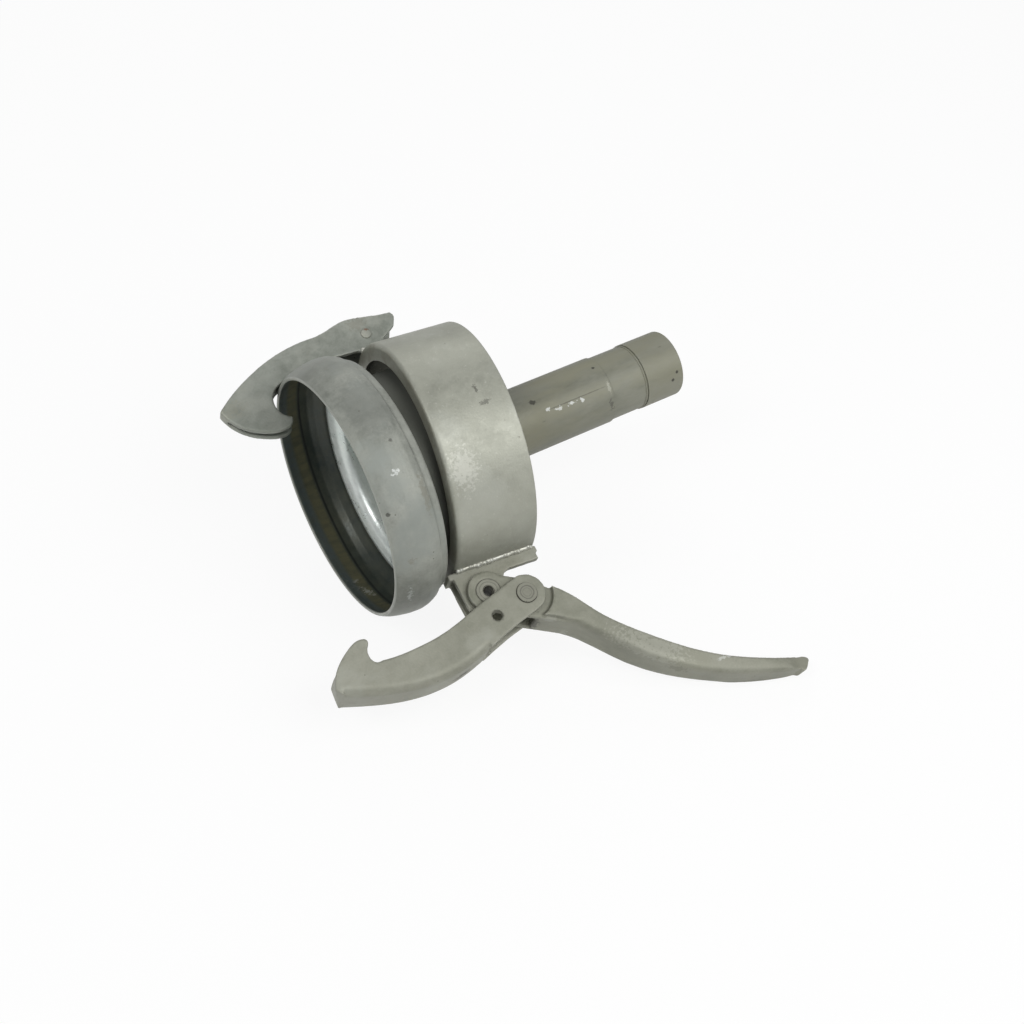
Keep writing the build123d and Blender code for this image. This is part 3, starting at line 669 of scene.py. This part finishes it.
def makeTurnedTree():
    tree, inputs, outputs = newGeometryTree("turnedShell", [
        ("Line", "NodeSocketObject"), ("Line Points", "NodeSocketInt"), ("Turn Points", "NodeSocketInt"),
        ("Inner Share", "NodeSocketFloat"), ("Outer Finish", "NodeSocketMaterial"),
        ("Inner Finish", "NodeSocketMaterial"),
    ])
    line = addNode(tree, "GeometryNodeObjectInfo", {"Object": inputs.outputs["Line"]})
    grid = addNode(tree, "GeometryNodeMeshGrid", {
        "Size X": 1.0, "Size Y": 1.0,
        "Vertices X": inputs.outputs["Line Points"], "Vertices Y": inputs.outputs["Turn Points"]})
    place = addNode(tree, "ShaderNodeSeparateXYZ", {"Vector": addNode(tree, "GeometryNodeInputPosition").outputs[0]})
    along = mathNode(tree, "ADD", place.outputs["X"], 0.5)
    angle = times(tree, mathNode(tree, "ADD", place.outputs["Y"], 0.5), math.tau)
    sample = addNode(tree, "GeometryNodeSampleCurve", {
        "Curves": line.outputs["Geometry"], "Factor": along}, mode="FACTOR", use_all_curves=True)
    section = addNode(tree, "ShaderNodeSeparateXYZ", {"Vector": sample.outputs["Position"]})
    turned = addNode(tree, "ShaderNodeCombineXYZ", {
        "X": section.outputs["X"],
        "Y": times(tree, section.outputs["Y"], mathNode(tree, "COSINE", angle)),
        "Z": times(tree, section.outputs["Y"], mathNode(tree, "SINE", angle))})
    stored = addNode(tree, "GeometryNodeStoreNamedAttribute", {
        "Geometry": grid.outputs["Mesh"], "Name": "lineShare", "Value": along}, data_type="FLOAT", domain="POINT")
    moved = addNode(tree, "GeometryNodeSetPosition", {"Geometry": stored.outputs[0], "Position": turned.outputs[0]})
    real = addNode(tree, "GeometryNodeRealizeInstances", {"Geometry": moved.outputs[0]})
    outer = addNode(tree, "GeometryNodeSetMaterial", {
        "Geometry": real.outputs[0], "Material": inputs.outputs["Outer Finish"]})
    share = addNode(tree, "GeometryNodeInputNamedAttribute", {"Name": "lineShare"}, data_type="FLOAT")
    isInner = mathNode(tree, "GREATER_THAN", share.outputs["Attribute"], inputs.outputs["Inner Share"])
    inner = addNode(tree, "GeometryNodeSetMaterial", {
        "Geometry": outer.outputs[0], "Selection": isInner, "Material": inputs.outputs["Inner Finish"]})
    merged = addNode(tree, "GeometryNodeMergeByDistance", {"Geometry": inner.outputs[0], "Distance": 1e-6})
    tree.links.new(merged.outputs[0], outputs.inputs["Geometry"])
    return tree


def makeBallCup():
    outline = ballCup["outer"] + ballCup["inner"] + ballCup["rim"]
    line = pathCurve("cupLine", [(x, radius, 0) for x, radius in outline], cyclic=True)
    cup = newPiece("ballCup")
    tree = makeTurnedTree()
    modifier = cup.modifiers.new("turned", "NODES")
    modifier.node_group = tree
    setTreeInputs(modifier, tree, {
        "Line": line, "Line Points": ballCup["linePoints"], "Turn Points": ballCup["turnPoints"],
        "Inner Share": ballCup["innerShare"], "Outer Finish": finishes["ballOutside"],
        "Inner Finish": finishes["cupInside"]})
    addSmoothing(cup, "soften", ballCup["softRounds"])
    applied(cup)
    bpy.data.objects.remove(line)
    shape = bmesh.new()
    shape.from_mesh(cup.data)
    bmesh.ops.recalc_face_normals(shape, faces=shape.faces)
    shape.to_mesh(cup.data)
    shape.free()
    smoothShaded(cup)
    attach(cup, bodyOf("ball_cup"))
    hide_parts("ball_cup")


makeBallCup()
print("ball cup turned")


# Pressings: copies of the CAD pieces with their folds and edges softened as the dip left them

# Each is (finish, voxel, rounds of smoothing)
pressings = {
    "claw_hook": ("hookZinc", 0.0008, 6),
    "lever_handle": ("handleZinc", 0.0008, 6),
    "fixed_claw": ("clawZinc", 0.0008, 14),
    "lever_bracket": ("bracketZinc", 0.0007, 3),
}
dipWaves = {"size": 0.018, "height": 0.00035, "level": 0.6}
keptPast = 0.02  # share of what lies past a cut that is kept, so that no two faces coincide
leastWeight = 0.01
hookEnd = {
    "line": [(-0.1056, 0.0399), (-0.1113, 0.0525), (-0.1072, 0.0579), (-0.1020, 0.0575), (-0.1055, 0.0520),
             (-0.1005, 0.0412)],
    "half": 0.0150,
    "cheek": 0.0177,  # from the middle to the outside of a cheek
    "nearAlong": -0.1115,
    "farAlong": -0.1072,
    "softFrom": -0.1050,
    "softReach": 0.006,
    "rounds": 12,
}
handleFold = {
    "edge": [(0.0583, 0.0330), (0.0714, 0.0463), (0.0830, 0.0626), (0.1098, 0.0892), (0.1428, 0.1139),
             (0.1860, 0.1366), (0.2100, 0.1432)],
    "back": [(0.0509, 0.0543), (0.0656, 0.0649), (0.0917, 0.0929), (0.1195, 0.1166), (0.1546, 0.1360),
             (0.1860, 0.1476), (0.2100, 0.1529)],
    "start": 0.060,
    "end": 0.205,
    "endReach": 0.012,
    "share": 0.25,  # of the way from edge to back, where the softening starts
    "shareReach": 0.2,
    "thinnest": 0.004,
    "rounds": 200,
}
handleTip = {"from": 0.196, "power": 4, "farLoss": 0.6, "nearLoss": 0.2, "depthLoss": 0.6}
earStrip = {
    "line": [(0.0305, 0.003), (0.0320, 0.0145), (0.0350, 0.0096), (0.0620, 0.0096), (0.0620, 0.003)],
    "side": (-0.0085, -0.0030),
    "farStart": 0.0360,
    "farSide": 0.001,
    "farTop": 0.0044,
    "front": [(-0.0060, 0.0), (-0.0060, 0.0043), (0.0, 0.0043), (0.0, 0.0)],
    "frontHalf": 0.0085,
}


def addPrism(shape, line, low, high):
    ends = []
    for side in (low, high):
        ends.append([shape.verts.new(leverPoint(along, out, side)) for along, out in line])
    count = len(line)
    faces = [shape.faces.new(ends[0]), shape.faces.new(list(reversed(ends[1])))]
    for index in range(count):
        after = (index + 1) % count
        faces.append(shape.faces.new((ends[0][after], ends[0][index], ends[1][index], ends[1][after])))
    bmesh.ops.recalc_face_normals(shape, faces=faces)


def mergedCopy(name):
    mesh = nodes[name].data.copy()
    shape = bmesh.new()
    shape.from_mesh(mesh)
    bmesh.ops.remove_doubles(shape, verts=shape.verts, dist=1e-6)
    if name == "lever_bracket":
        addPrism(shape, earStrip["line"], *earStrip["side"])
        addPrism(shape, earStrip["front"], -earStrip["frontHalf"], earStrip["frontHalf"])
    if name == "claw_hook":
        addPrism(shape, hookEnd["line"], -hookEnd["half"], hookEnd["half"])
    shape.to_mesh(mesh)
    shape.free()
    mesh.materials.clear()
    return mesh


def cutHookEnd(piece):
    # The hook's end is cut a little askew, so what lies past the cut is drawn back onto it
    slant = (hookEnd["farAlong"] - hookEnd["nearAlong"]) / (2 * hookEnd["cheek"])
    for vertex in piece.data.vertices:
        along, out, side = leverPlace(vertex.co)
        limit = hookEnd["nearAlong"] + slant * (side + hookEnd["cheek"])
        if along < limit:
            vertex.co = leverPoint(limit + (along - limit) * keptPast, out, side)


def trimFarEar(piece):
    # Behind the lug only the near ear runs on as a strip; the far one is cut down to the base
    top = earStrip["farTop"]
    for vertex in piece.data.vertices:
        along, out, side = leverPlace(vertex.co)
        if along > earStrip["farStart"] and side > earStrip["farSide"] and out > top:
            vertex.co = leverPoint(along, top + (out - top) * keptPast, side)


def heightOn(line, along):
    # Past its last point the line runs straight on
    for (lowAlong, lowOut), (highAlong, highOut) in zip(line, line[1:]):
        if along <= highAlong:
            break
    share = (along - lowAlong) / (highAlong - lowAlong)
    return lowOut + (highOut - lowOut) * share


def ramp(value, reach):
    return min(max(value / reach, 0), 1)


def foldWeight(name, place):
    # One where the sheet was folded round or closed over, nought elsewhere
    along, out, _ = leverPlace(place)
    if name == "claw_hook":
        return ramp(hookEnd["softFrom"] - along, hookEnd["softReach"])
    edge = heightOn(handleFold["edge"], along)
    back = heightOn(handleFold["back"], along)
    share = (out - edge) / max(back - edge, handleFold["thinnest"])
    inside = ramp(share - handleFold["share"], handleFold["shareReach"])
    ends = min(along - handleFold["start"], handleFold["end"] - along)
    return inside * ramp(ends, handleFold["endReach"])


def roundHandleTip(piece):
    # Towards its tip the handle narrows to a rounded lip, more on the far side than on the near one
    places = [leverPlace(vertex.co) for vertex in piece.data.vertices]
    length = max(place.x for place in places) - handleTip["from"]
    for vertex, (along, out, side) in zip(piece.data.vertices, places):
        if along > handleTip["from"]:
            share = ((along - handleTip["from"]) / length) ** handleTip["power"]
            loss = handleTip["farLoss"] if side > 0 else handleTip["nearLoss"]
            edge = heightOn(handleFold["edge"], along)
            depth = (out - edge) * (1 - handleTip["depthLoss"] * share)
            vertex.co = leverPoint(along, edge + depth, side * (1 - loss * share))


def softenFolds(piece, name):
    group = piece.vertex_groups.new(name="fold")
    for vertex in piece.data.vertices:
        weight = foldWeight(name, vertex.co)
        if weight > leastWeight:
            group.add([vertex.index], weight, "REPLACE")
    rounds = hookEnd["rounds"] if name == "claw_hook" else handleFold["rounds"]
    addSmoothing(piece, "fold", rounds).vertex_group = group.name


def makePressing(name, finish, voxel, rounds):
    first, second = name.split("_")
    piece = newPiece(first + second.capitalize(), mergedCopy(name))
    addSkin(piece, voxel)
    applied(piece)
    if name == "claw_hook":
        cutHookEnd(piece)
    if name == "lever_bracket":
        trimFarEar(piece)
    if name == "lever_handle":
        roundHandleTip(piece)
    if name in ("claw_hook", "lever_handle"):
        softenFolds(piece, name)
    addSmoothing(piece, "soften", rounds)
    waves = bpy.data.textures.new(name + "Waves", "CLOUDS")
    waves.noise_scale = dipWaves["size"]
    displace = piece.modifiers.new("waves", "DISPLACE")
    displace.texture = waves
    displace.texture_coords = "LOCAL"
    displace.strength = dipWaves["height"]
    displace.mid_level = dipWaves["level"]
    applied(piece)
    smoothShaded(piece)
    piece.data.materials.append(finishes[finish])
    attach(piece, bodyOf(name))
    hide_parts(name)
    print("softened", name, len(piece.data.polygons), "faces")


for name, (finish, voxel, rounds) in pressings.items():
    makePressing(name, finish, voxel, rounds)


# Weld beads: ripples laid along a path, then skinned over

beadSizes = {
    "spacing": 1.15,  # ripple to ripple, in bead radii
    "stretch": 0.8,
    "least": 0.82,  # smallest and largest ripple, in bead radii
    "most": 1.12,
    "core": 0.8,
    "corePoints": 12,
    "segments": 16,
    "rings": 10,
    "voxel": 0.00045,
    "softRounds": 2,
    "roundPoints": 96,
    "footWander": 0.22,
    "roundWander": 0.05,
}


def makeBeadTree():
    tree, inputs, outputs = newGeometryTree("weldBead", [
        ("Path", "NodeSocketObject"), ("Bead Radius", "NodeSocketFloat"), ("Ripple Spacing", "NodeSocketFloat"),
        ("Ripple Stretch", "NodeSocketFloat"), ("Wander", "NodeSocketFloat"), ("Seed", "NodeSocketInt"),
        ("Finish", "NodeSocketMaterial"),
    ])
    radius = inputs.outputs["Bead Radius"]
    path = addNode(tree, "GeometryNodeObjectInfo", {"Object": inputs.outputs["Path"]})
    points = addNode(tree, "GeometryNodeResampleCurve", {
        "Curve": path.outputs["Geometry"], "Length": inputs.outputs["Ripple Spacing"]}, mode="LENGTH")
    wander = addNode(tree, "FunctionNodeRandomValue", {
        "Min": (-1, -1, -1), "Max": (1, 1, 1), "Seed": inputs.outputs["Seed"]}, data_type="FLOAT_VECTOR")
    offset = addNode(tree, "ShaderNodeVectorMath", {
        0: wander.outputs[0], "Scale": times(tree, radius, inputs.outputs["Wander"])}, operation="SCALE")
    strayed = addNode(tree, "GeometryNodeSetPosition", {"Geometry": points.outputs[0], "Offset": offset.outputs[0]})
    ripple = addNode(tree, "GeometryNodeMeshUVSphere", {
        "Segments": beadSizes["segments"], "Rings": beadSizes["rings"], "Radius": radius})
    size = addNode(tree, "FunctionNodeRandomValue", {
        "Min": beadSizes["least"], "Max": beadSizes["most"], "Seed": inputs.outputs["Seed"]}, data_type="FLOAT")
    scale = addNode(tree, "ShaderNodeCombineXYZ", {
        "X": size.outputs[1], "Y": size.outputs[1],
        "Z": times(tree, size.outputs[1], inputs.outputs["Ripple Stretch"])})
    tangent = addNode(tree, "GeometryNodeInputTangent")
    turned = addNode(tree, "FunctionNodeAlignRotationToVector", {"Vector": tangent.outputs[0]}, axis="Z")
    ripples = addNode(tree, "GeometryNodeInstanceOnPoints", {
        "Points": strayed.outputs[0], "Instance": ripple.outputs["Mesh"],
        "Rotation": turned.outputs[0], "Scale": scale.outputs[0]})
    coreRound = addNode(tree, "GeometryNodeCurvePrimitiveCircle", {
        "Resolution": beadSizes["corePoints"], "Radius": times(tree, radius, beadSizes["core"])})
    core = addNode(tree, "GeometryNodeCurveToMesh", {
        "Curve": path.outputs["Geometry"], "Profile Curve": coreRound.outputs["Curve"], "Fill Caps": True})
    joined = addNode(tree, "GeometryNodeJoinGeometry")
    tree.links.new(ripples.outputs[0], joined.inputs[0])
    tree.links.new(core.outputs[0], joined.inputs[0])
    real = addNode(tree, "GeometryNodeRealizeInstances", {"Geometry": joined.outputs[0]})
    dressed = addNode(tree, "GeometryNodeSetMaterial", {
        "Geometry": real.outputs[0], "Material": inputs.outputs["Finish"]})
    tree.links.new(dressed.outputs[0], outputs.inputs["Geometry"])
    return tree


beadTree = makeBeadTree()


def makeBead(name, node, points, radius, finish, cyclic, wander, seed):
    path = pathCurve(name + "Path", points, cyclic)
    bead = newPiece(name)
    modifier = bead.modifiers.new("bead", "NODES")
    modifier.node_group = beadTree
    setTreeInputs(modifier, beadTree, {
        "Path": path, "Bead Radius": radius, "Ripple Spacing": radius * beadSizes["spacing"],
        "Ripple Stretch": beadSizes["stretch"], "Wander": wander, "Seed": seed, "Finish": finishes[finish]})
    addSkin(bead, beadSizes["voxel"])
    addSmoothing(bead, "soften", beadSizes["softRounds"])
    applied(bead)
    bpy.data.objects.remove(path)
    smoothShaded(bead)
    bead.data.materials.clear()
    bead.data.materials.append(finishes[finish])
    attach(bead, bodyOf(node))
    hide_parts(node)


def roundPath(x, radius):
    count = beadSizes["roundPoints"]
    return [(x, radius * math.cos(math.tau * index / count), radius * math.sin(math.tau * index / count))
            for index in range(count)]


# A foot bead is (node, place of a point, side, start, end, radius), a round one (node, x, ring radius, radius, finish)
footBeads = {
    "bracketWeldLeft": ("bracket_weld_left", leverPoint, -0.0092, 0.0015, 0.0600, 0.0023),
    "bracketWeldRight": ("bracket_weld_right", leverPoint, 0.0092, 0.0015, 0.0600, 0.0023),
    "clawWeldLeft": ("claw_weld_left", clawPoint, -0.0146, 0.0020, 0.0330, 0.0023),
    "clawWeldRight": ("claw_weld_right", clawPoint, 0.0146, 0.0020, 0.0330, 0.0023),
}
roundBeads = {
    "cupWeld": ("cup_weld", 0.0452, 0.0730, 0.0021, "innerWeldZinc"),
    "coneWeld": ("cone_weld", 0.1180, 0.0262, 0.0017, "tailZinc"),
    "jointWeld": ("joint_weld", 0.2252, 0.0251, 0.0013, "tailZinc"),
    "sleeveWeld": ("sleeve_weld", 0.2556, 0.0250, 0.0010, "sleeveZinc"),
}
firstRoundSeed = 11
for index, (name, (node, point, side, start, end, radius)) in enumerate(footBeads.items()):
    sink = math.sqrt(ringPlace["radius"] ** 2 - side ** 2) - ringPlace["radius"]
    ends = [point(start, sink, side), point(end, sink, side)]
    makeBead(name, node, ends, radius, "weldZinc", False, beadSizes["footWander"], index + 1)
for index, (name, (node, x, ringRadius, radius, finish)) in enumerate(roundBeads.items()):
    path = roundPath(x, ringRadius)
    makeBead(name, node, path, radius, finish, True, beadSizes["roundWander"], index + firstRoundSeed)
print("weld beads laid")


# Floor and studio

floorSizes = {
    "height": -0.0972,  # just under the ball
    "half": 6.0,
    "white": 0.9,
    "colour": (0.85, 0.85, 0.84),
    "roughness": 0.9,
    "specular": 0.1,
}


def makeFloor():
    half = floorSizes["half"]
    mesh = bpy.data.meshes.new("floor")
    corners = [(-half, -half), (half, -half), (half, half), (-half, half)]
    mesh.from_pydata([(x, y, floorSizes["height"]) for x, y in corners], [], [(0, 1, 2, 3)])
    floor = newPiece("floor", mesh)
    material, tree, shader = newMaterial("paleFloor")
    setInput(tree, shader.inputs["Base Color"], floorSizes["colour"])
    setInput(tree, shader.inputs["Roughness"], floorSizes["roughness"])
    setInput(tree, shader.inputs["Specular IOR Level"], floorSizes["specular"])
    output = tree.nodes["Material Output"]
    white = addNode(tree, "ShaderNodeEmission", {"Color": (1.0, 1.0, 1.0), "Strength": 1.0})
    rays = addNode(tree, "ShaderNodeLightPath")
    seen = mathNode(tree, "MAXIMUM", rays.outputs["Is Camera Ray"], rays.outputs["Is Glossy Ray"])
    seen = mathNode(tree, "MAXIMUM", seen, rays.outputs["Is Transmission Ray"])
    share = times(tree, seen, floorSizes["white"])
    blend = addNode(tree, "ShaderNodeMixShader", {0: share, 1: shader.outputs[0], 2: white.outputs[0]})
    tree.links.new(blend.outputs[0], output.inputs["Surface"])
    mesh.materials.append(material)


# Each lamp is (place, size, power)
lamps = {
    "keyLamp": ((0.62, -1.15, 1.36), 1.5, 21.0),
    "fillLamp": ((-1.0, -0.15, 1.35), 0.8, 9.0),
    "rimLamp": ((0.6, 1.3, 1.1), 1.0, 5.0),
}
lampTarget = (0.08, 0.0, 0.0)


def areaLamp(name, place, size, power):
    data = bpy.data.lights.new(name, "AREA")
    data.shape = "DISK"
    data.size = size
    data.energy = power
    lamp = bpy.data.objects.new(name, data)
    bpy.context.scene.collection.objects.link(lamp)
    lamp.location = place
    lamp.rotation_euler = (Vector(lampTarget) - Vector(place)).to_track_quat("-Z", "Y").to_euler()


cameraPlace = {
    "position": (-0.3073, -0.6878, 0.7955),
    "right": (0.8485, -0.5282, 0.0308),
    "forward": (0.3782, 0.5648, -0.7334),
    "focalPixels": 1530,
    "framePixels": 1024,
    "sensor": 36.0,
}
studioWorld = {"colour": (0.95, 0.97, 1.0), "strength": 0.34}


def makeCamera():
    data = bpy.data.cameras.new("camera")
    data.sensor_width = cameraPlace["sensor"]
    data.lens = data.sensor_width * cameraPlace["focalPixels"] / cameraPlace["framePixels"]
    camera = bpy.data.objects.new("camera", data)
    bpy.context.scene.collection.objects.link(camera)
    forward = Vector(cameraPlace["forward"]).normalized()
    up = Vector(cameraPlace["right"]).cross(forward).normalized()
    right = forward.cross(up)
    turn = Matrix((right, up, -forward)).transposed()
    camera.matrix_world = Matrix.Translation(cameraPlace["position"]) @ turn.to_4x4()
    bpy.context.scene.camera = camera


def makeWorld():
    world = bpy.data.worlds.new("studio")
    bpy.context.scene.world = world
    world.use_nodes = True
    tree = world.node_tree
    background = tree.nodes["Background"]
    setInput(tree, background.inputs["Color"], studioWorld["colour"])
    setInput(tree, background.inputs["Strength"], studioWorld["strength"])


makeFloor()
makeCamera()
for name, (place, size, power) in lamps.items():
    areaLamp(name, place, size, power)
makeWorld()
bpy.context.scene.view_settings.view_transform = "Standard"
print("studio placed")
